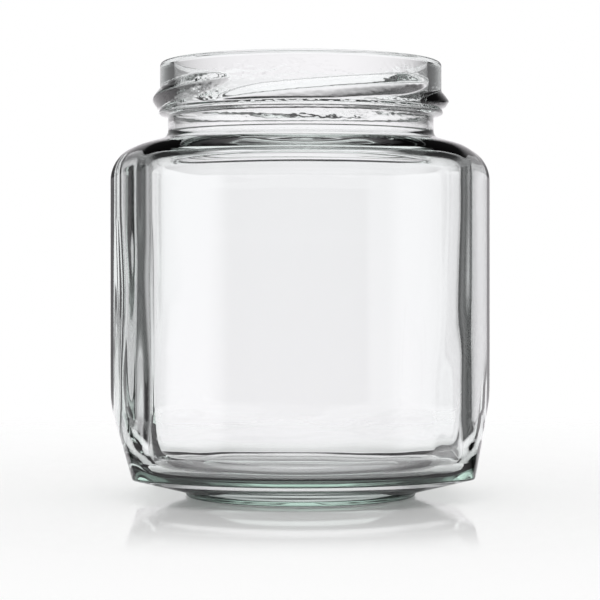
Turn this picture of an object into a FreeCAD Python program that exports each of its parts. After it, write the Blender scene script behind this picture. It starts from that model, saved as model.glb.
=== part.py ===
"""Six-sided clear glass storage jar with a wide round neck for a lug-style twist-off lid.

Millimetres. The jar stands on the table plane Z = 0 with its axis on Z. The curved front panel
faces -Y, the curved back panel +Y, and the pointed sides face -X and +X. It is one solid.
"""
import FreeCAD, Part
import math
import os

V = FreeCAD.Vector

# ---- overall ---------------------------------------------------------------------------------
HEIGHT = 91.0               # table to the top of the rim
HALF_WIDTH = 40.0           # axis to the upright edge at each side
HALF_DEPTH = 34.4           # axis to the crown of the front and back panels

# ---- body section ----------------------------------------------------------------------------
SIDE_POINT = 6.0            # the side edges stand out this far past the panel corners
PANEL_CROWN = 16.5          # rise of each curved panel over the chord between its corners

# ---- base ------------------------------------------------------------------------------------
FOOT_RADIUS = 24.2
FOOT_HEIGHT = 1.0
FOOT_ROUND = 0.7
PUSH_UP_RADIUS = 20.0       # shallow hollow under the jar, inside the ring that it stands on
PUSH_UP_HEIGHT = 1.4
PUSH_UP_FLAT = 12.0         # radius of its flat middle
BASE_EDGE_HEIGHT = 4.8      # table to the lower edge of the panels
KINK_RISE = 12.0            # base edge to the level where the panels stop flaring
FACET_RISE = 13.6           # base edge to the tip of the triangular facet on each side
BASE_FLARE_X = 1.0          # the panel corners move out by this much at the base edge
BASE_FLARE_Y = 0.7

# ---- shoulder and neck -----------------------------------------------------------------------
SHOULDER_SLOPE = 16.0       # degrees down from level
SHOULDER_ROUND = 6.5        # rounding between the shoulder and the upright faces
SHOULDER_STEPS = 6
PANEL_PIECES = 12           # spans of a shoulder curve over a curved panel
SIDE_PIECES = 4             # and over a flat side
NECK_WALL = 1.3             # glass between the bore and the outside of the neck
NECK_HEIGHT = 3.6           # neck base, on the shoulder, to the underside of the bead
NECK_BLEND = 1.8            # hollow blend between shoulder and neck
BLEND_STEPS = 3

# ---- finish: rim wall, bead and lug ridges -----------------------------------------------------
FINISH_HEIGHT = 11.5        # underside of the bead to the top of the rim
RIM_WALL = 2.9              # glass between the bore and the outside of the rim
RIM_ROUND = 0.9
BEAD_PROUD = 0.25           # the bead stands out past the rim wall
BEAD_HEIGHT = 1.6
LUG_COUNT = 4
LUG_SWEEP = 96.0            # degrees turned by one ridge from its low end to its high end
LUG_START = -37.0           # degrees from the middle of the front panel to a low end, +X positive
LUG_CLIMB = 4.3             # rise of the crest over the sweep
LUG_TOP_GAP = 5.4           # top of the rim to the crest at its high end
LUG_PROUD = 1.65            # crest outside the rim wall
LUG_ABOVE = 2.1             # crest to the upper edge of the ridge
LUG_BELOW = 1.3             # crest to the lower edge of the ridge
LUG_ROOT = 0.8              # the ridge starts this deep in the wall
LUG_FADE = 0.25             # share of the sweep over which each end sinks into the wall
LUG_SECTIONS = 13

# ---- inside ----------------------------------------------------------------------------------
BORE_RADIUS = 26.7          # the neck and rim stand round the bore
PANEL_WALL = 2.5            # glass behind the front and back panels
SIDE_WALL = 2.5             # glass behind the flat sides and the triangular facets
SHOULDER_WALL = 3.0         # glass at the neck base, measured upright
FLOOR_THICKNESS = 4.1       # glass in the middle of the floor
HEEL_HEIGHT = 8.0           # rounded corner between the inside walls and the floor, mid-panel
HEEL_CORNER_RISE = 3.0      # it starts this much higher at the upright corners
HEEL_INSET = 8.0
CORNER_SHARPNESS = 20.0     # higher is a tighter inside corner
CAVITY_LAP = 0.3            # the body's inside runs this far up into the bore
HEEL_RINGS = 6
WALL_RINGS = 3
SHOULDER_RINGS = 7
RING_POINTS = 60

# ---- levels and lengths that follow ------------------------------------------------------------
CORNER_X = HALF_WIDTH - SIDE_POINT
CORNER_Y = HALF_DEPTH - PANEL_CROWN
BASE_X = CORNER_X + BASE_FLARE_X
BASE_Y = CORNER_Y + BASE_FLARE_Y
KINK_Z = BASE_EDGE_HEIGHT + KINK_RISE
FACET_TIP_Z = BASE_EDGE_HEIGHT + FACET_RISE
NECK_RADIUS = BORE_RADIUS + NECK_WALL
RIM_RADIUS = BORE_RADIUS + RIM_WALL
BEAD_Z = HEIGHT - FINISH_HEIGHT
NECK_Z = BEAD_Z - NECK_HEIGHT
FLOOR_Z = PUSH_UP_HEIGHT + FLOOR_THICKNESS
CAVITY_TOP_Z = NECK_Z - SHOULDER_WALL
SLOPE_TURN = math.radians(SHOULDER_SLOPE)
SLOPE = math.tan(SLOPE_TURN)
SIDE_LENGTH = math.hypot(SIDE_POINT, CORNER_Y)
SIDE_DISTANCE = HALF_WIDTH * CORNER_Y / SIDE_LENGTH
NECK_LEDGE = (min(HALF_DEPTH, SIDE_DISTANCE) - NECK_RADIUS) / (1 - math.sin(SLOPE_TURN))
BLEND = min(NECK_BLEND, 0.45 * NECK_LEDGE)      # the blend never takes half of a narrow shoulder
BLEND_Z = NECK_Z + BLEND * (1 / math.cos(SLOPE_TURN) - SLOPE)
CORNER_TURN = math.degrees(math.atan2(CORNER_Y, CORNER_X))
BASE_TURN = math.degrees(math.atan2(BASE_Y, BASE_X))


def panel_edge(corner_x, corner_y, crown_y, z):
    """Curved edge of a front or back panel, from -X to +X."""
    return Part.Arc(V(-corner_x, corner_y, z), V(0, crown_y, z), V(corner_x, corner_y, z)).toShape()


def ring_edge(radius, z, start, end):
    """Part of a level circle about the axis; angles in degrees from +X."""
    return Part.makeCircle(radius, V(0, 0, z), V(0, 0, 1), start, end)


def curve_through(points, closed=False):
    """Smooth edge through the points."""
    curve = Part.BSplineCurve()
    curve.interpolate(points, PeriodicFlag=closed)
    return curve.toShape()


def flat_face(*corners):
    """Flat face with the given corners."""
    return Part.Face(Part.makePolygon([*corners, corners[0]]))


def turned(*outline):
    """Solid turned about the jar's axis from a closed outline of (radius, z) points."""
    face = flat_face(*[V(radius, 0, z) for radius, z in outline])
    return face.revolve(V(0, 0, 0), V(0, 0, 1), 360)


def round_edge(solid, radius, z, size):
    """Round the circular edge that has this radius and height."""
    edges = [edge for edge in solid.Edges if isinstance(edge.Curve, Part.Circle)
             and abs(edge.Curve.Radius - radius) < 0.001 and abs(edge.Curve.Center.z - z) < 0.001]
    return solid.makeFillet(size, edges)


def wall_reaches(turn, panel_wall, side_wall):
    """Axis to a curved panel and to a flat side along one ray, at these depths in the glass."""
    ray_x, ray_y = abs(math.cos(turn)), abs(math.sin(turn))
    panel_radius = (CORNER_X ** 2 + PANEL_CROWN ** 2) / (2 * PANEL_CROWN)
    offset = panel_radius - HALF_DEPTH
    return [math.sqrt((panel_radius - panel_wall) ** 2 - (offset * ray_x) ** 2) - offset * ray_y,
            (SIDE_DISTANCE - side_wall) * SIDE_LENGTH / (CORNER_Y * ray_x + SIDE_POINT * ray_y)]


def shoulder_point(turn, step):
    """One point of the rounding between the upright faces and the shoulder, in an axial plane."""
    wall = min(wall_reaches(turn, 0, 0))
    ledge = (wall - NECK_RADIUS) / (1 - math.sin(SLOPE_TURN))
    size = min(SHOULDER_ROUND, 0.95 * ledge - BLEND)
    bend = (math.pi / 2 - SLOPE_TURN) * step / SHOULDER_STEPS
    radius = wall - size + size * math.cos(bend)
    level = NECK_Z - (wall - size - NECK_RADIUS) * SLOPE - size / math.cos(SLOPE_TURN)
    return V(radius * math.cos(turn), radius * math.sin(turn), level + size * math.sin(bend))


def shoulder_edges(start, end, pieces):
    """Edges up the shoulder and its neck blend over one face of the body, lowest first."""
    edges = []
    for step in range(SHOULDER_STEPS + 1):
        turns = [math.radians(start + (end - start) * piece / pieces) for piece in range(pieces + 1)]
        edges.append(curve_through([shoulder_point(turn, step) for turn in turns]))
    for step in range(BLEND_STEPS + 1):
        bend = (math.pi / 2 - SLOPE_TURN) * (1 - step / BLEND_STEPS)
        radius = NECK_RADIUS + BLEND * (1 - math.cos(bend))
        edges.append(ring_edge(radius, BLEND_Z - BLEND * math.sin(bend), start, end))
    return edges


def strips(edges):
    """Ruled faces between each edge and the next."""
    return [Part.makeRuledSurface(lower, upper) for lower, upper in zip(edges, edges[1:])]


def panel_faces(depth):
    """Front (depth -1) or back (+1) panel from the foot to the neck."""
    half_turn = 0 if depth > 0 else 180
    foot = ring_edge(FOOT_RADIUS, FOOT_HEIGHT, half_turn + BASE_TURN, half_turn + 180 - BASE_TURN)
    base = panel_edge(BASE_X, depth * BASE_Y, depth * HALF_DEPTH, BASE_EDGE_HEIGHT)
    kink = panel_edge(CORNER_X, depth * CORNER_Y, depth * HALF_DEPTH, KINK_Z)
    upper = shoulder_edges(half_turn + CORNER_TURN, half_turn + 180 - CORNER_TURN, PANEL_PIECES)
    return strips([foot, base, kink, *upper])


def side_faces(side):
    """Pointed side towards -X (side -1) or +X (+1), from the foot to the neck."""
    half_turn = 0 if side > 0 else 180
    tip = V(side * HALF_WIDTH, 0, FACET_TIP_Z)
    bases = [V(side * BASE_X, side * depth * BASE_Y, BASE_EDGE_HEIGHT) for depth in (-1, 1)]
    foot = ring_edge(FOOT_RADIUS, FOOT_HEIGHT, half_turn - BASE_TURN, half_turn + BASE_TURN)
    faces = [flat_face(tip, *bases), Part.makeRuledSurface(foot, Part.makeLine(*bases))]
    for depth, base in zip((-1, 1), bases):
        kink = V(side * CORNER_X, side * depth * CORNER_Y, KINK_Z)
        ends = [kink, tip] if depth < 0 else [tip, kink]
        start = half_turn - CORNER_TURN if depth < 0 else half_turn
        faces.append(flat_face(tip, kink, base))
        faces += strips([Part.makeLine(*ends), *shoulder_edges(start, start + CORNER_TURN, SIDE_PIECES)])
    return faces


def body():
    """Six-sided body with its facets, underside and rounded shoulder, up to the neck."""
    faces = panel_faces(-1) + panel_faces(1) + side_faces(-1) + side_faces(1)
    faces.append(Part.Face(Part.Wire(ring_edge(FOOT_RADIUS, FOOT_HEIGHT, 0, 360))))
    faces.append(Part.Face(Part.Wire(ring_edge(NECK_RADIUS, BLEND_Z, 0, 360))))
    shell = Part.Shell(faces)
    shell.sewShape()
    return Part.makeSolid(shell)


def foot():
    """Round foot under the body, with a rounded edge."""
    overlap = FOOT_HEIGHT + 1
    blank = turned((0, 0), (FOOT_RADIUS, 0), (FOOT_RADIUS, FOOT_HEIGHT), (0, overlap))
    return round_edge(blank, FOOT_RADIUS, 0, FOOT_ROUND)


def neck():
    """Solid neck and rim wall with the bead between them, standing on the shoulder's blend."""
    bead_radius = RIM_RADIUS + BEAD_PROUD
    return turned((0, BLEND_Z), (NECK_RADIUS, BLEND_Z), (NECK_RADIUS, BEAD_Z),
                  (bead_radius, BEAD_Z + BEAD_HEIGHT / 3), (bead_radius, BEAD_Z + BEAD_HEIGHT * 2 / 3),
                  (RIM_RADIUS, BEAD_Z + BEAD_HEIGHT), (RIM_RADIUS, HEIGHT), (0, HEIGHT))


def lug_section(share):
    """Outline of a lug ridge, in an upright plane through the axis, this share of the way along."""
    fade = math.sin(math.pi / 2 * min(1, share / LUG_FADE, (1 - share) / LUG_FADE))
    size = (1 + fade) / 2
    root = RIM_RADIUS - LUG_ROOT
    crest = LUG_ROOT * size + LUG_PROUD * fade
    z = HEIGHT - LUG_TOP_GAP - LUG_CLIMB * (1 - share)
    corners = [(0, LUG_ABOVE), (0.8, 0.3 * LUG_ABOVE), (1, 0), (0.8, -0.45 * LUG_BELOW), (0, -LUG_BELOW)]
    points = [V(root + out * crest, 0, z + up * size) for out, up in corners]
    outline = Part.makePolygon([*points, points[0]])
    outline.rotate(V(0, 0, 0), V(0, 0, 1), LUG_START - 90 + LUG_SWEEP * share)
    return outline


def lugs():
    """The climbing ridges that a lid's lugs run under."""
    first = Part.makeLoft([lug_section(step / (LUG_SECTIONS - 1)) for step in range(LUG_SECTIONS)], True)
    ridges = []
    for index in range(LUG_COUNT):
        ridge = first.copy()
        ridge.rotate(V(0, 0, 0), V(0, 0, 1), index * 360 / LUG_COUNT)
        ridges.append(ridge)
    return ridges


def inside_reach(turn, z):
    """Axis to the inside surface along one ray, with every inside corner softly rounded."""
    lean = (HALF_WIDTH - BASE_X) / FACET_RISE
    facet_x = HALF_WIDTH - SIDE_WALL * math.hypot(1, lean) - max(FACET_TIP_Z - z, 0) * lean
    reaches = wall_reaches(turn, PANEL_WALL, SIDE_WALL)
    reaches += [facet_x / max(abs(math.cos(turn)), 0.01),
                BORE_RADIUS + max(CAVITY_TOP_Z - z, -CAVITY_LAP) / SLOPE]
    return sum(reach ** -CORNER_SHARPNESS for reach in reaches) ** (-1 / CORNER_SHARPNESS)


def heel_inset(turn, z):
    """How far the rounding at the floor draws the inside surface in, by angle and height."""
    cornering = min(1, wall_reaches(turn, 0, 0)[0] * abs(math.cos(turn)) / CORNER_X) ** 2
    rise = HEEL_HEIGHT + HEEL_CORNER_RISE * cornering
    drop = min(1, max(0, 1 - (z - FLOOR_Z) / rise))
    return HEEL_INSET * (1 - math.sqrt(1 - drop ** 2))


def inside_ring(z):
    """Closed smooth outline of the inside at height z."""
    points = []
    for step in range(RING_POINTS):
        turn = 2 * math.pi * step / RING_POINTS
        reach = inside_reach(turn, z) - heel_inset(turn, z)
        points.append(V(reach * math.cos(turn), reach * math.sin(turn), z))
    return Part.Wire(curve_through(points, closed=True))


def cavity():
    """Space inside the body, from the floor up into the bore."""
    heel_rise = HEEL_HEIGHT + HEEL_CORNER_RISE
    bend_z = CAVITY_TOP_Z - (HALF_WIDTH - BORE_RADIUS) * SLOPE - SHOULDER_ROUND / 2
    levels = [FLOOR_Z + heel_rise * (1 - math.cos(math.pi / 2 * step / HEEL_RINGS)) for step in range(HEEL_RINGS)]
    for step in range(WALL_RINGS):
        levels.append(FLOOR_Z + heel_rise + (bend_z - FLOOR_Z - heel_rise) * step / WALL_RINGS)
    for step in range(SHOULDER_RINGS):
        levels.append(bend_z + (CAVITY_TOP_Z + CAVITY_LAP - bend_z) * step / (SHOULDER_RINGS - 1))
    return Part.makeLoft([inside_ring(z) for z in levels], True, True)


def bore():
    """Round opening through the neck, flared a little at the rim by the rounding."""
    flare = BORE_RADIUS + RIM_ROUND * 2
    above = HEIGHT + RIM_ROUND
    below = CAVITY_TOP_Z - SHOULDER_WALL
    return turned((0, below), (BORE_RADIUS, below), (BORE_RADIUS, HEIGHT - RIM_ROUND), (flare, above), (0, above))


def push_up():
    """Shallow hollow in the underside, sloping up to a flat middle."""
    return turned((0, -FOOT_HEIGHT), (PUSH_UP_RADIUS, -FOOT_HEIGHT), (PUSH_UP_RADIUS, 0),
                  (PUSH_UP_FLAT, PUSH_UP_HEIGHT), (0, PUSH_UP_HEIGHT))


def jar():
    """The whole jar: outer body, foot, neck and lug ridges, less everything that is hollow."""
    outer = body().fuse([neck(), foot()])
    outer = round_edge(outer, RIM_RADIUS, HEIGHT, RIM_ROUND)
    inside = cavity().fuse(bore())
    return outer.fuse(lugs()).cut([inside, push_up()])


os.makedirs("parts", exist_ok=True)
jar().exportStep("parts/jar_glass.step")
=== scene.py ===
"""Clear glass jar with a six-sided body and a round neck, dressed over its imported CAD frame.

Sizes are in millimetres and the mesh is scaled to metres when it is built. The jar is one closed
surface: rows of points run from the middle of the underside, up the outside, over the rim and
down the inside to the middle of the floor, and every row goes once round the upright axis.
"""
import math

import bpy
import numpy as np
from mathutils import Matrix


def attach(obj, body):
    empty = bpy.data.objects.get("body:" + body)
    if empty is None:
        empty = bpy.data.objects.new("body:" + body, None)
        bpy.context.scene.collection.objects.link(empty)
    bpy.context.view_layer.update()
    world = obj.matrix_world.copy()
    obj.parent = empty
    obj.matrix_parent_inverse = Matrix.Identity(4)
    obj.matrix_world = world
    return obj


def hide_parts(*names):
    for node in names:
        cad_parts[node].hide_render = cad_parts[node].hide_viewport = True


MM = 0.001

# ---- outside: foot, body, shoulder -----------------------------------------------------------
HEIGHT = 91.0
HALF_WIDTH = 40.0
HALF_DEPTH = 34.4
SIDE_POINT = 6.0            # the side edges stand out this far past the panel corners
PANEL_CROWN = 16.5          # rise of each curved panel over the chord between its corners
FOOT_RADIUS = 24.2
FOOT_HEIGHT = 1.0
FOOT_ROUND = 0.7
FOOT_TOP_ROUND = 0.4
PUSH_UP_RADIUS = 21.2       # shallow hollow inside the ring that the jar stands on
PUSH_UP_HEIGHT = 1.0
PUSH_UP_FLAT = 9.0          # radius of its flat middle
PUSH_UP_ROUND = 4.0
PUSH_UP_EDGE_ROUND = 1.2
BASE_EDGE_HEIGHT = 4.8
BASE_EDGE_ROUND = 0.5
BASE_EDGE_MARGIN = 1.6      # the rounded base edge ends this far above it
KINK_RISE = 12.0            # base edge to the level where the panels stop flaring
FACET_RISE = 13.6           # base edge to the tip of the triangular facet on each side
BASE_FLARE_X = 1.0          # the panel corners move out by this much at the base edge
BASE_FLARE_Y = 0.7
SHOULDER_SLOPE = math.tan(math.radians(16.0))
SHOULDER_ROUND = 7.5

# ---- outside: neck and rim -------------------------------------------------------------------
NECK_RADIUS = 27.95
NECK_Z = 75.2
NECK_BLEND = 1.8
RIM_RADIUS = 29.6
RIM_ROUND = 0.9
BEAD_RADIUS = 29.85
BEAD_Z = 79.5               # underside of the small ring below the thread
BEAD_FULL = 0.5             # above the underside: where the ring is full width,
BEAD_NARROWS = 1.1          # where it starts to narrow
BEAD_TOP = 1.6              # and where the rim wall starts
NECK_TOP_ROUND = 0.6
BEAD_UNDER_ROUND = 0.5
BEAD_ROUND = 0.4

# ---- thread ridges ---------------------------------------------------------------------------
LUG_COUNT = 4
LUG_SWEEP = 96.0            # degrees turned by one ridge from its low end to its high end
LUG_START = -37.0           # degrees from the middle of the front to a low end, +X positive
LUG_CLIMB = 4.3
LUG_TOP_GAP = 5.4           # top of the rim to the crest at its high end
LUG_PROUD = 1.65
LUG_ABOVE = 2.1             # crest to the upper edge of the ridge
LUG_BELOW = 2.2
LUG_FADE = 0.22             # share of the sweep over which each end sinks into the wall
LUG_END_SIZE = 0.35         # height of the profile at its ends, as a share of the middle
LUG_FLANK_POWER = 0.85      # below 1 the flanks bulge
LUG_CREST_FROM = 0.75       # the crest is flattened above this share of the flank
LUG_CREST_DROP = 0.72
LUGS_FROM = 1.7             # the ridges keep this far above the underside of the small ring
LUGS_BELOW_RIM = 1.0

# ---- inside ----------------------------------------------------------------------------------
BORE_RADIUS = 26.7
BORE_BLEND = 2.5            # rounding between the bore and the inside of the shoulder
SHOULDER_WALL = 2.8
INNER_SHOULDER_ROUND = 3.0
FLOOR_Z = 5.1
FLOOR_DISH = 1.5            # the middle of the floor lies this much lower than its edge
HEEL_HEIGHT = 6.0           # rounded corner between the inside walls and the floor
HEEL_CORNER_RISE = 3.2      # it starts this much higher towards the points
HEEL_INSET = 8.0
HEEL_FULLNESS = 3.2
LEAST_WALL = 0.8
RIPPLE = 0.05               # depth of the settle waves just above the floor
RIPPLE_Z = 13.0
RIPPLE_SPREAD = 3.5

# ---- softness and thickness of the glass -----------------------------------------------------
# Each row of numbers is low, halfway and high on the body.
WALL_HEIGHTS = (27.1, 43.1, 60.8)
EDGE_SOFT = (0.5, 0.35, 0.36)   # outer upright edges
# Inside, each wall and corner has its own thickness in mm. "Soft" is the softness of a corner;
# "fill" is extra glass at an upright corner, with its spread and its shift toward the point in
# degrees.
INSIDE = {
    "front wall": (2.28, 2.48, 2.46),
    "back wall": (2.41, 2.81, 3.51),
    "left wall": (2.8, 2.6, 2.6),
    "right wall": (2.29, 2.57, 2.49),
    "front left soft": (0.9, 0.94, 0.92),
    "front right soft": (0.83, 0.96, 0.62),
    "back left soft": (1.08, 1.72, 0.92),
    "back right soft": (1.14, 0.9, 0.95),
    "left point fill": (2.74, 2.39, 0.98),
    "left point spread": (3.51, 6.56, 3.69),
    "front left fill": (0, 0.02, 0.18),
    "front left spread": (8.04, 5, 16.07),
    "front left shift": (-3.16, 7.77, -12.22),
    "front right fill": (0.22, 0, 0),
    "front right spread": (5, 8.36, 5),
    "front right shift": (-10.27, 3.6, -0.63),
    "back left fill": (0, 0.73, 0.53),
    "back left spread": (22.79, 9.81, 14.01),
    "back left shift": (-12.91, 5.82, 3.11),
    "back right fill": (0.54, 0.15, 0),
    "back right spread": (8.22, 6.57, 17.85),
    "back right shift": (-5.32, -5.19, 2.98),
}

# Pitted patches of the bore: angle from +X in degrees, height, spreads in degrees and mm, depth.
PITTING = [
    (-114, 87.0, 13, 1.5, 0.06), (-96, 86.8, 12, 1.5, 0.07), (-45, 87.2, 9, 1.3, 0.06),
    (-135, 84.0, 9, 1.5, 0.07), (-90, 82.0, 60, 4.0, 0.015), (-70, 79.8, 40, 1.0, 0.05),
]
PITTING_SEED = 8
PITTED_FROM_Z = 77
PITTED_BELOW_RIM = 1.2
ON_SURFACE = 0.02           # a row this near to a radius lies on that surface

# ---- rows and columns of the mesh ------------------------------------------------------------
COLUMNS = 480
EDGE_CROWDING = 5           # extra columns at the upright edges, over the even spacing
POINT_SPREAD = 0.03         # radians that the crowding spreads round the point at each side
CORNER_SPREAD = 0.035       # and round the corners of the panels
MIDDLE_RADIUS = 0.01        # ring at the axis that the last face closes
CLOSE_ROWS_TO = 22          # outside, rows lie close together up to here
UPRIGHT_TO = 60             # outside, the walls are upright up to here
INNER_UPRIGHT_TO = 58
INNER_CLOSE_ROWS_TO = 24    # inside, rows lie close together below this
CORNERING_Z = 30            # level at which the heel measures where the points are

# ---- glass -----------------------------------------------------------------------------------
GLASS_TINT = (0.80, 0.985, 0.90, 1)
GLASS_DENSITY = 30.0
GLASS_IOR = 1.52

# ---- floor, in metres ------------------------------------------------------------------------
FLOOR_REACH = 0.26
FLOOR_SIDES = 128
FLOOR_FADE = 0.14           # from here to its edge the table top fades out
FLOOR_GREY = 0.99
SHEEN = 0.42
SHEEN_FULL = 0.045
SHEEN_END = 0.105
SHEEN_ROUGHNESS = 0.06
# Painted shade: clear glass alone sees a dark ring on the table close round the foot, standing in
# for the jar's contact shadow. These set its depth and its radii.
PAINTED_SHADE_DEPTH = 0.5            # how much darker clear glass sees the table close round the foot
SHADE_RING_START = 0.012
SHADE_RING_FULL = 0.028
SHADE_RING_END = 0.06

# ---- light panels that clear glass sees ------------------------------------------------------
PANEL_TINT = (1.0, 0.973, 1.0)
# Brightness by angle from +Y toward +X, in degrees, at most the 32 stops that a ramp holds.
PANELS_AROUND = [
    (-180, 0.25), (-138, 0.25), (-132, 0.9), (-102, 0.9), (-92, 0.78), (-88, 0.7), (-78, 0.5),
    (-68, 0.46), (-54, 0.42), (-48, 0.02), (-42, 0), (-37, 0.08), (-33, 0.72), (-27, 0.8),
    (-12, 1), (18, 0.97), (22, 0.85), (27, 0.87), (32, 0.72), (38, 0.15), (42, 0), (52, 0.11),
    (58, 0), (63, 0.08), (68, 0.24), (78, 0.45), (82, 0.63), (88, 0.9), (108, 0.93), (122, 0.9),
    (132, 0.25), (180, 0.25),
]
PANELS_HIGH = [
    (-180, 1.0), (-110, 0.9), (-75, 0.3), (-45, 0.12), (-32, 0.18), (-22, 0.28), (-12, 0.52),
    (-6, 0.74), (0, 0.9), (4, 0.95), (9, 0.8), (14, 0.56), (22, 0.34), (32, 0.2), (45, 0.12),
    (75, 0.3), (110, 0.9), (180, 1.0),
]
# Between these levels the panels around give way to the high ones; 0.5 is the horizon and 1 is
# straight up, as in the two lists below.
HIGH_FROM = 0.5 + 3.6 / 180
HIGH_FULL = 0.5 + 5.0 / 180
PANELS_UPWARD = [(0.0, 1.0), (0.46, 1.0), (0.475, 0.0), (0.62, 0.0), (0.66, 1.0)]
PANELS_CEILING = [(0.0, 1.0), (0.47, 1.0), (0.5, 0.03), (0.80, 0.03), (0.86, 1.0)]

# ---- camera ----------------------------------------------------------------------------------
CAMERA_SENSOR = 36
CAMERA_LENS = 128.34
CAMERA_DISTANCE = 451.0     # from the axis of the jar
CAMERA_HEIGHT = 47.04
CAMERA_TURN = -2.4          # degrees to the left of the middle of the front
CAMERA_SHIFT = (-0.0013333, -0.0476667)
CAMERA_CLIP = 0.01

CORNER_X = HALF_WIDTH - SIDE_POINT
CORNER_Y = HALF_DEPTH - PANEL_CROWN
BASE_X = CORNER_X + BASE_FLARE_X
BASE_Y = CORNER_Y + BASE_FLARE_Y
KINK_Z = BASE_EDGE_HEIGHT + KINK_RISE
FACET_TIP_Z = BASE_EDGE_HEIGHT + FACET_RISE


def smooth_min(reaches, softness):
    """Smallest of several reaches, rounded where two of them cross."""
    reaches = np.stack(np.broadcast_arrays(*reaches))
    least = reaches.min(axis=0)
    return least - softness * np.log(np.exp((least - reaches) / softness).sum(axis=0))


def wall_reach(turn, z, panel_wall, side_wall, softness):
    """Axis to an upright wall that lies this far inside the outer faces, by angle and height."""
    ray_x = np.maximum(np.abs(np.cos(turn)), 1e-3)
    ray_y = np.abs(np.sin(turn))
    flare = np.maximum(KINK_Z - z, 0) / KINK_RISE
    corner_x = CORNER_X + BASE_FLARE_X * flare
    crown = PANEL_CROWN - BASE_FLARE_Y * flare
    radius = (corner_x ** 2 + crown ** 2) / (2 * crown)
    offset = radius - HALF_DEPTH
    panel = np.sqrt((radius - panel_wall) ** 2 - (offset * ray_x) ** 2) - offset * ray_y
    length = math.hypot(SIDE_POINT, CORNER_Y)
    upright = HALF_WIDTH * CORNER_Y - side_wall * length
    upright = upright / (CORNER_Y * ray_x + SIDE_POINT * ray_y)
    tip = np.array([HALF_WIDTH, 0, FACET_TIP_Z])
    kink = np.array([CORNER_X, CORNER_Y, KINK_Z])
    base = np.array([BASE_X, BASE_Y, BASE_EDGE_HEIGHT])
    normal = np.cross(kink - tip, base - tip)
    normal = normal / np.linalg.norm(normal) * np.sign(normal[0])
    lower = (normal @ tip - side_wall - normal[2] * z) / (normal[0] * ray_x + normal[1] * ray_y)
    lean = (HALF_WIDTH - BASE_X) / FACET_RISE
    facet = (HALF_WIDTH - side_wall * math.hypot(1, lean) - (FACET_TIP_Z - z) * lean) / ray_x
    return smooth_min([panel, np.maximum(upright, lower), facet], softness)


def between(one, other, share):
    """Two values blended smoothly; a share of 1 is all of the first."""
    share = share * share * (3 - 2 * share)
    return one * share + other * (1 - share)


def degrees_away(turn, angle):
    """How far each column is from this angle in degrees, at most half a turn either way."""
    return (np.degrees(turn) - angle + 180) % 360 - 180


def inner_reach(turn, z):
    """Axis to the inside walls: blown glass, so each wall and corner has its own thickness."""
    size = {name: np.interp(z, WALL_HEIGHTS, values) for name, values in INSIDE.items()}
    front = (1 - np.sin(turn)) / 2
    left = (1 - np.cos(turn)) / 2
    softness = between(between(size["front left soft"], size["front right soft"], left),
                       between(size["back left soft"], size["back right soft"], left), front)
    reach = wall_reach(turn, z, between(size["front wall"], size["back wall"], front),
                       between(size["left wall"], size["right wall"], left), softness)
    corner = math.degrees(math.atan2(CORNER_Y, CORNER_X))
    fills = [(180, "left point")]
    for name, angle, way in (("front left", 180 + corner, 1), ("front right", -corner, 1),
                             ("back left", 180 - corner, -1), ("back right", corner, -1)):
        fills.append((angle + way * size[name + " shift"], name))
    for angle, name in fills:
        away = degrees_away(turn, angle) / size[name + " spread"]
        reach = reach - size[name + " fill"] * np.exp(-away ** 2)
    return reach


def arc_rows(before, corner, after, radius, count):
    """Rows of points round one corner of the outline, for every angle round the jar at once."""
    rows = []
    to_before = before - corner
    to_after = after - corner
    room = 0.49 * np.minimum(np.linalg.norm(to_before, axis=1), np.linalg.norm(to_after, axis=1))
    to_before = to_before / np.linalg.norm(to_before, axis=1)[:, None]
    to_after = to_after / np.linalg.norm(to_after, axis=1)[:, None]
    half = np.arccos(np.clip((to_before * to_after).sum(axis=1), -1, 1)) / 2
    half = np.minimum(half, math.pi / 2 - 1e-4)
    reach = np.minimum(radius / np.tan(half), room)
    radius = reach * np.tan(half)
    bisector = to_before + to_after
    bisector = bisector / np.linalg.norm(bisector, axis=1)[:, None]
    centre = corner + bisector * (radius / np.sin(half))[:, None]
    start = corner + to_before * reach[:, None] - centre
    end = corner + to_after * reach[:, None] - centre
    sweep = math.pi - 2 * half
    for step in range(count + 1):
        share = step / count
        weight_start = np.sin((1 - share) * sweep) / np.sin(sweep)
        weight_end = np.sin(share * sweep) / np.sin(sweep)
        rows.append(centre + start * weight_start[:, None] + end * weight_end[:, None])
    return rows


def outline_rows(corners):
    """Rows along a chain of rounded corners.

    Each corner is radius from the axis, z, rounding, rows round the corner and rows before it.
    """
    turns = len(corners[0][0])
    points = [np.stack([c[0], np.broadcast_to(c[1], turns)], axis=1) for c in corners]
    rows = [points[0]]
    for index in range(1, len(corners)):
        rounding, steps, fill = corners[index][2:]
        if index == len(corners) - 1 or rounding == 0:
            bend = [points[index]]
        else:
            bend = arc_rows(points[index - 1], points[index], points[index + 1], rounding, steps)
        last = rows[-1]
        for step in range(1, fill + 1):
            rows.append(last + (bend[0] - last) * step / (fill + 1))
        rows.extend(bend)
    return rows


def lug_height(turn, z):
    """How far the thread ridges stand out from the rim wall, by angle and height."""
    height = np.zeros_like(z + turn)
    for index in range(LUG_COUNT):
        degrees = np.degrees(turn) + 90 - LUG_START - index * 360 / LUG_COUNT
        share = np.mod(degrees, 360) / LUG_SWEEP
        fade = np.clip(np.minimum(share / LUG_FADE, (1 - share) / LUG_FADE), 0, 1)
        fade = np.sin(fade * math.pi / 2)
        crest_z = HEIGHT - LUG_TOP_GAP - LUG_CLIMB * (1 - share)
        drop = (z - crest_z) / (LUG_END_SIZE + (1 - LUG_END_SIZE) * fade)
        flank = np.clip(np.where(drop > 0, 1 - drop / LUG_ABOVE, 1 + drop / LUG_BELOW), 0, 1)
        crest = np.clip(flank - LUG_CREST_FROM, 0, 1)
        flank = flank ** LUG_FLANK_POWER - LUG_CREST_DROP * crest ** 2
        height = np.maximum(height, np.where(share <= 1, LUG_PROUD * fade * flank, 0))
    return height


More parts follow.
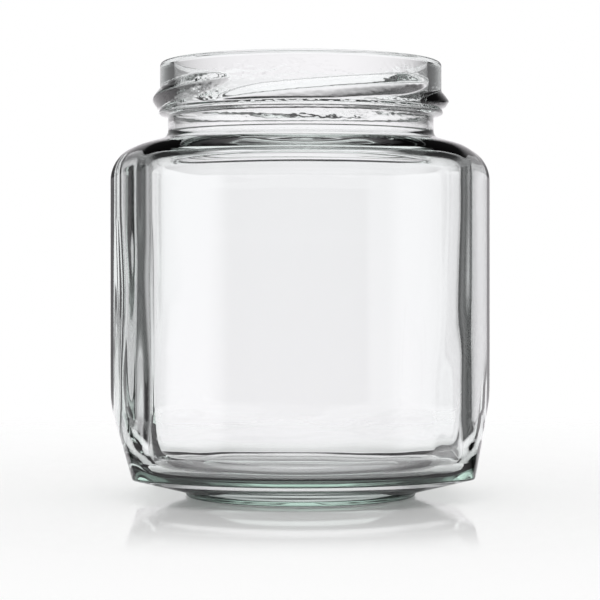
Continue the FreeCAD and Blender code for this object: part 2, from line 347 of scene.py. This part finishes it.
def jar_turns():
    """Angles of the columns, closest together at the upright edges."""
    corner = math.atan2(CORNER_Y, CORNER_X)
    quarter = np.linspace(0, math.pi / 2, 2000)
    density = (1 + EDGE_CROWDING * np.exp(-(quarter / POINT_SPREAD) ** 2)
               + EDGE_CROWDING * np.exp(-((quarter - corner) / CORNER_SPREAD) ** 2))
    travelled = np.concatenate([[0], np.cumsum((density[1:] + density[:-1]) / 2)])
    travelled = travelled / travelled[-1]
    first = np.interp(np.linspace(0, 1, COLUMNS // 4 + 1), travelled, quarter)
    second = math.pi - first[::-1]
    half = np.concatenate([first[:-1], second[:-1]])
    return np.concatenate([half, half + math.pi])


def wall_rows(reach, start, end, count):
    """Rows up or down a wall between two heights, without the first, which is there already."""
    rows = []
    for share in np.linspace(0, 1, count)[1:]:
        z = start + (end - start) * share
        radius = reach(z)
        rows.append(np.stack([radius, np.broadcast_to(z, radius.shape)], axis=1))
    return rows


def jar_rows(turn):
    """All rows of (radius, z) points, from the middle of the underside to that of the floor."""
    ones = np.ones_like(turn)

    def outer(z):
        return wall_reach(turn, z, 0, 0, np.interp(z, WALL_HEIGHTS, EDGE_SOFT))

    def inner(z):
        wave = np.sin(z * 2.1 + 2.5 * np.sin(2 * turn) + np.sin(7 * turn))
        wave = RIPPLE * wave * np.exp(-((z - RIPPLE_Z) / RIPPLE_SPREAD) ** 2)
        return np.minimum(inner_reach(turn, z), outer(z) - LEAST_WALL) - wave

    wall = outer(UPRIGHT_TO)
    shoulder_z = NECK_Z - (wall - NECK_RADIUS) * SHOULDER_SLOPE
    edge_end = BASE_EDGE_HEIGHT + BASE_EDGE_MARGIN
    rows = outline_rows([
        (MIDDLE_RADIUS * ones, PUSH_UP_HEIGHT, 0, 0, 0),
        (PUSH_UP_FLAT * ones, PUSH_UP_HEIGHT, PUSH_UP_ROUND, 4, 4),
        (PUSH_UP_RADIUS * ones, 0, PUSH_UP_EDGE_ROUND, 4, 3),
        (FOOT_RADIUS * ones, 0, FOOT_ROUND, 5, 1),
        (FOOT_RADIUS * ones, FOOT_HEIGHT, FOOT_TOP_ROUND, 4, 0),
        (outer(BASE_EDGE_HEIGHT), BASE_EDGE_HEIGHT, BASE_EDGE_ROUND, 5, 5),
        (outer(edge_end), edge_end, 0, 0, 0)])
    rows += wall_rows(outer, edge_end, CLOSE_ROWS_TO, 34)
    rows += wall_rows(outer, CLOSE_ROWS_TO, UPRIGHT_TO, 12)

    inner_wall = inner(UPRIGHT_TO)
    inner_neck_z = NECK_Z - SHOULDER_WALL
    inner_shoulder_z = inner_neck_z - (inner_wall - BORE_RADIUS) * SHOULDER_SLOPE
    rows += outline_rows([
        (wall, UPRIGHT_TO, 0, 0, 0),
        (wall, shoulder_z, SHOULDER_ROUND, 16, 3),
        (NECK_RADIUS * ones, NECK_Z, NECK_BLEND, 6, 3),
        (NECK_RADIUS * ones, BEAD_Z, NECK_TOP_ROUND, 4, 2),
        (BEAD_RADIUS * ones, BEAD_Z + BEAD_FULL, BEAD_UNDER_ROUND, 4, 1),
        (BEAD_RADIUS * ones, BEAD_Z + BEAD_NARROWS, BEAD_ROUND, 3, 0),
        (RIM_RADIUS * ones, BEAD_Z + BEAD_TOP, BEAD_ROUND, 2, 0),
        (RIM_RADIUS * ones, HEIGHT, RIM_ROUND, 6, 44),
        (BORE_RADIUS * ones, HEIGHT, RIM_ROUND, 6, 2),
        (BORE_RADIUS * ones, inner_neck_z, BORE_BLEND, 8, 56),
        (inner_wall, inner_shoulder_z, INNER_SHOULDER_ROUND, 14, 4),
        (inner_wall, INNER_UPRIGHT_TO, 0, 0, 2)])[1:]
    rows += wall_rows(inner, INNER_UPRIGHT_TO, INNER_CLOSE_ROWS_TO, 12)

    cornering = np.clip(np.abs(inner(CORNERING_Z) * np.cos(turn)) / CORNER_X, 0, 1) ** 2
    heel_height = HEEL_HEIGHT + HEEL_CORNER_RISE * cornering
    heel_top = FLOOR_Z + heel_height
    rows += wall_rows(inner, INNER_CLOSE_ROWS_TO, heel_top, 8)
    for bend in np.linspace(0, math.pi / 2, 20)[1:]:
        z = heel_top - heel_height * math.sin(bend) ** (2 / HEEL_FULLNESS)
        inset = HEEL_INSET * (1 - max(math.cos(bend), 0) ** (2 / HEEL_FULLNESS))
        rows.append(np.stack([inner(z) - inset, z], axis=1))
    edge_radius, edge_z = rows[-1].T
    for share in np.linspace(1, 0, 12)[1:]:
        rows.append(np.stack([edge_radius * share + MIDDLE_RADIUS,
                              edge_z - FLOOR_DISH * (1 - share ** 2)], axis=1))
    return rows


def build_jar():
    """The glass as one closed mesh, in metres."""
    turn = jar_turns()
    rows = np.stack(jar_rows(turn))
    radius, z = rows[..., 0], rows[..., 1]
    on_rim = ((np.abs(radius - RIM_RADIUS) < ON_SURFACE)
              & (z > BEAD_Z + LUGS_FROM) & (z < HEIGHT - LUGS_BELOW_RIM))
    radius = np.where(on_rim, radius + lug_height(turn[None, :], z), radius)
    rough = np.random.default_rng(PITTING_SEED).normal(size=radius.shape)
    on_bore = ((np.abs(radius - BORE_RADIUS) < ON_SURFACE)
               & (z > PITTED_FROM_Z) & (z < HEIGHT - PITTED_BELOW_RIM))
    for angle, height, spread, tall, depth in PITTING:
        away = degrees_away(turn, angle) / spread
        patch = np.exp(-away ** 2 - ((z - height) / tall) ** 2)
        radius = np.where(on_bore, radius + depth * patch * rough, radius)
    points = np.stack([radius * np.cos(turn), radius * np.sin(turn), z], axis=-1) * MM
    index = np.arange(radius.size).reshape(radius.shape)
    beside = np.roll(index, -1, axis=1)
    quads = np.stack([index[:-1], beside[:-1], beside[1:], index[1:]], axis=-1).reshape(-1, 4)
    faces = quads.tolist() + [index[0][::-1].tolist(), index[-1].tolist()]
    mesh = bpy.data.meshes.new("jar_glass_visual")
    mesh.from_pydata(points.reshape(-1, 3).tolist(), [], faces)
    mesh.shade_smooth()
    mesh.validate()
    jar = bpy.data.objects.new("jar_glass_visual", mesh)
    bpy.context.scene.collection.objects.link(jar)
    return jar


def node(tree, kind, inputs=(), **settings):
    """New node with its settings, its constant inputs and its links made."""
    made = tree.nodes.new(kind)
    for name, value in settings.items():
        setattr(made, name, value)
    for socket, value in inputs:
        if isinstance(value, bpy.types.NodeSocket):
            tree.links.new(value, made.inputs[socket])
        else:
            made.inputs[socket].default_value = value
    return made


def fade(tree, value, start, end, first=0.0, last=1.0):
    """Goes smoothly from first to last while the value goes from start to end."""
    return node(tree, "ShaderNodeMapRange",
                [("Value", value), ("From Min", start), ("From Max", end),
                 ("To Min", first), ("To Max", last)],
                interpolation_type="SMOOTHSTEP").outputs[0]


def math_node(tree, operation, first, second=0.0):
    """Output of one Math node."""
    return node(tree, "ShaderNodeMath", [(0, first), (1, second)], operation=operation).outputs[0]


def mix_values(tree, share, first, second):
    """First value turned into the second by this share."""
    return node(tree, "ShaderNodeMix", [(0, share), (2, first), (3, second)]).outputs[0]


def mix_shaders(tree, share, first, second):
    """First shader turned into the second by this share."""
    return node(tree, "ShaderNodeMixShader", [(0, share), (1, first), (2, second)]).outputs[0]


def ramp(tree, factor, stops):
    """Grey ramp; stops are (position, brightness), in rising order."""
    made = node(tree, "ShaderNodeValToRGB", [("Fac", factor)])
    elements = made.color_ramp.elements
    elements[0].position = stops[0][0]
    elements[-1].position = stops[-1][0]
    for position, _ in stops[1:-1]:
        elements.new(position)
    for element, (_, value) in zip(elements, stops):
        element.color = (value, value, value, 1)
    return made.outputs[0]


def new_tree(owner):
    """Emptied node tree of a material or world."""
    owner.use_nodes = True
    owner.node_tree.nodes.clear()
    return owner.node_tree


def through_glass(tree):
    """1 for rays that clear glass has passed on or reflected, 0 for all others."""
    return node(tree, "ShaderNodeLightPath").outputs["Is Singular Ray"]


def glass_material():
    """Clear soda-lime glass with a faint green body colour."""
    material = bpy.data.materials.new("soda_lime_glass")
    material.use_nodes = True
    tree = material.node_tree
    shader = tree.nodes["Principled BSDF"]
    for socket, value in (("Base Color", (1, 1, 1, 1)), ("Roughness", 0.0), ("IOR", GLASS_IOR),
                          ("Transmission Weight", 1.0)):
        shader.inputs[socket].default_value = value
    tint = node(tree, "ShaderNodeVolumeAbsorption",
                [("Color", GLASS_TINT), ("Density", GLASS_DENSITY)])
    tree.links.new(tint.outputs[0], tree.nodes["Material Output"].inputs["Volume"])
    return material


def make_floor():
    """Pale table top that fades out at a distance, with a soft sheen round the jar and a painted
    shadow ring round the foot that only clear glass sees.
    """
    bpy.ops.mesh.primitive_circle_add(vertices=FLOOR_SIDES, radius=FLOOR_REACH, fill_type="NGON")
    floor = bpy.context.object
    floor.name = "floor"
    material = bpy.data.materials.new("table_top")
    tree = new_tree(material)
    place = node(tree, "ShaderNodeTexCoord").outputs["Object"]
    distance = node(tree, "ShaderNodeVectorMath", [(0, place)], operation="LENGTH").outputs["Value"]
    through = through_glass(tree)
    tone = node(tree, "ShaderNodeMix", [(0, through), (6, (FLOOR_GREY, FLOOR_GREY, FLOOR_GREY, 1)),
                                        (7, (*PANEL_TINT, 1))], data_type="RGBA").outputs[2]
    matt = node(tree, "ShaderNodeBsdfDiffuse", [("Color", tone)]).outputs[0]
    gloss = node(tree, "ShaderNodeBsdfGlossy",
                 [("Color", (1, 1, 1, 1)), ("Roughness", SHEEN_ROUGHNESS)]).outputs[0]
    sheen = fade(tree, distance, SHEEN_FULL, SHEEN_END, SHEEN, 0.0)
    surface = mix_shaders(tree, sheen, matt, gloss)
    # Painted shadow: a dark ring close round the foot, mixed in only for rays through clear glass.
    painted_shade_ring = math_node(tree, "MULTIPLY", fade(tree, distance, SHADE_RING_FULL, SHADE_RING_END, PAINTED_SHADE_DEPTH, 0.0),
                     fade(tree, distance, SHADE_RING_START, SHADE_RING_FULL))
    painted_shade_black = node(tree, "ShaderNodeBsdfDiffuse", [("Color", (0, 0, 0, 1))]).outputs[0]
    surface = mix_shaders(tree, math_node(tree, "MULTIPLY", painted_shade_ring, through), surface, painted_shade_black)
    clear = node(tree, "ShaderNodeBsdfTransparent").outputs[0]
    surface = mix_shaders(tree, fade(tree, distance, FLOOR_FADE, FLOOR_REACH), surface, clear)
    node(tree, "ShaderNodeOutputMaterial", [("Surface", surface)])
    floor.data.materials.append(material)


def make_world():
    """White studio; clear glass also sees the darker gaps between its light panels."""
    world = bpy.data.worlds.new("studio")
    bpy.context.scene.world = world
    tree = new_tree(world)
    way = node(tree, "ShaderNodeTexCoord").outputs["Generated"]
    x, y, z = node(tree, "ShaderNodeSeparateXYZ", [(0, way)]).outputs
    turn = math_node(tree, "DIVIDE", math_node(tree, "ARCTAN2", x, y), 2 * math.pi)
    turn = math_node(tree, "ADD", turn, 0.5)
    around, high = [ramp(tree, turn, [(at / 360 + 0.5, value) for at, value in stops])
                    for stops in (PANELS_AROUND, PANELS_HIGH)]
    climb = math_node(tree, "DIVIDE", math_node(tree, "ARCSINE", z), math.pi)
    climb = math_node(tree, "ADD", climb, 0.5)
    level = mix_values(tree, fade(tree, climb, HIGH_FROM, HIGH_FULL), around, high)
    seen = mix_values(tree, ramp(tree, climb, PANELS_UPWARD), level,
                      ramp(tree, climb, PANELS_CEILING))
    tinted = node(tree, "ShaderNodeVectorMath", [(0, PANEL_TINT), ("Scale", seen)],
                  operation="SCALE").outputs[0]
    panels = node(tree, "ShaderNodeBackground", [("Color", tinted)]).outputs[0]
    white = node(tree, "ShaderNodeBackground", [("Color", (1, 1, 1, 1))]).outputs[0]
    light = mix_shaders(tree, through_glass(tree), white, panels)
    node(tree, "ShaderNodeOutputWorld", [("Surface", light)])


def make_camera():
    """Camera low in front of the jar, turned a little to its left."""
    lens = bpy.data.cameras.new("camera")
    camera = bpy.data.objects.new("camera", lens)
    bpy.context.scene.collection.objects.link(camera)
    lens.sensor_width = CAMERA_SENSOR
    lens.lens = CAMERA_LENS
    lens.shift_x, lens.shift_y = CAMERA_SHIFT
    lens.clip_start = CAMERA_CLIP
    turn = math.radians(CAMERA_TURN)
    distance = CAMERA_DISTANCE * MM
    camera.location = (math.sin(turn) * distance, -math.cos(turn) * distance, CAMERA_HEIGHT * MM)
    camera.rotation_euler = (math.pi / 2, 0, turn)
    bpy.context.scene.camera = camera


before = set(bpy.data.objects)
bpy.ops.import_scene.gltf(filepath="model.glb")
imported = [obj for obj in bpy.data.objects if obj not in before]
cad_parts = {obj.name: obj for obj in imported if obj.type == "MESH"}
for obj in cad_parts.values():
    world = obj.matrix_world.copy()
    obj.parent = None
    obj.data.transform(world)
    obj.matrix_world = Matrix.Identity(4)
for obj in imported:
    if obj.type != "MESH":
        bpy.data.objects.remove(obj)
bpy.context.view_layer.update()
jar = build_jar()
jar.data.materials.append(glass_material())
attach(jar, "root")
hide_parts("jar_glass")
make_camera()
make_floor()
make_world()
bpy.context.scene.view_settings.view_transform = "Standard"
